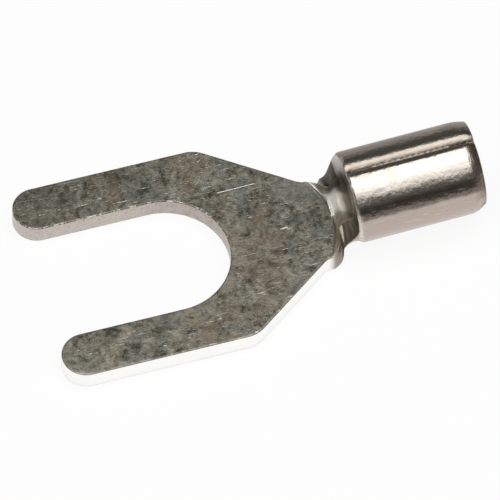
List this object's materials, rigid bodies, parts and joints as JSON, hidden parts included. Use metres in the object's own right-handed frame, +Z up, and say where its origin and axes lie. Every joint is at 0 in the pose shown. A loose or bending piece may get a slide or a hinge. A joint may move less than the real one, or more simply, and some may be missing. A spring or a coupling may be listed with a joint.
{
  "type": "spade terminal",
  "caption": "Bare spade terminal: flat open fork that slips under a screw head, necked down into a rolled barrel with a seam along its top, to be crimped on a wire",
  "frame": {"origin": "centre of the slot's round end, on the flat underside of the fork", "axes": "+X runs along the part from the fork to the wire barrel, +Y across the fork, +Z up out of the fork's top face, with the fork's underside at Z = 0"},
  "size_m": [0.0185, 0.0094, 0.0041],
  "materials": {
    "tin_plate": "tin-plated copper, matt and scratched on the fork, glossy on the barrel"
  },
  "bodies": {
    "root": {"spade_terminal": "tin_plate"}
  },
  "joints": []
}
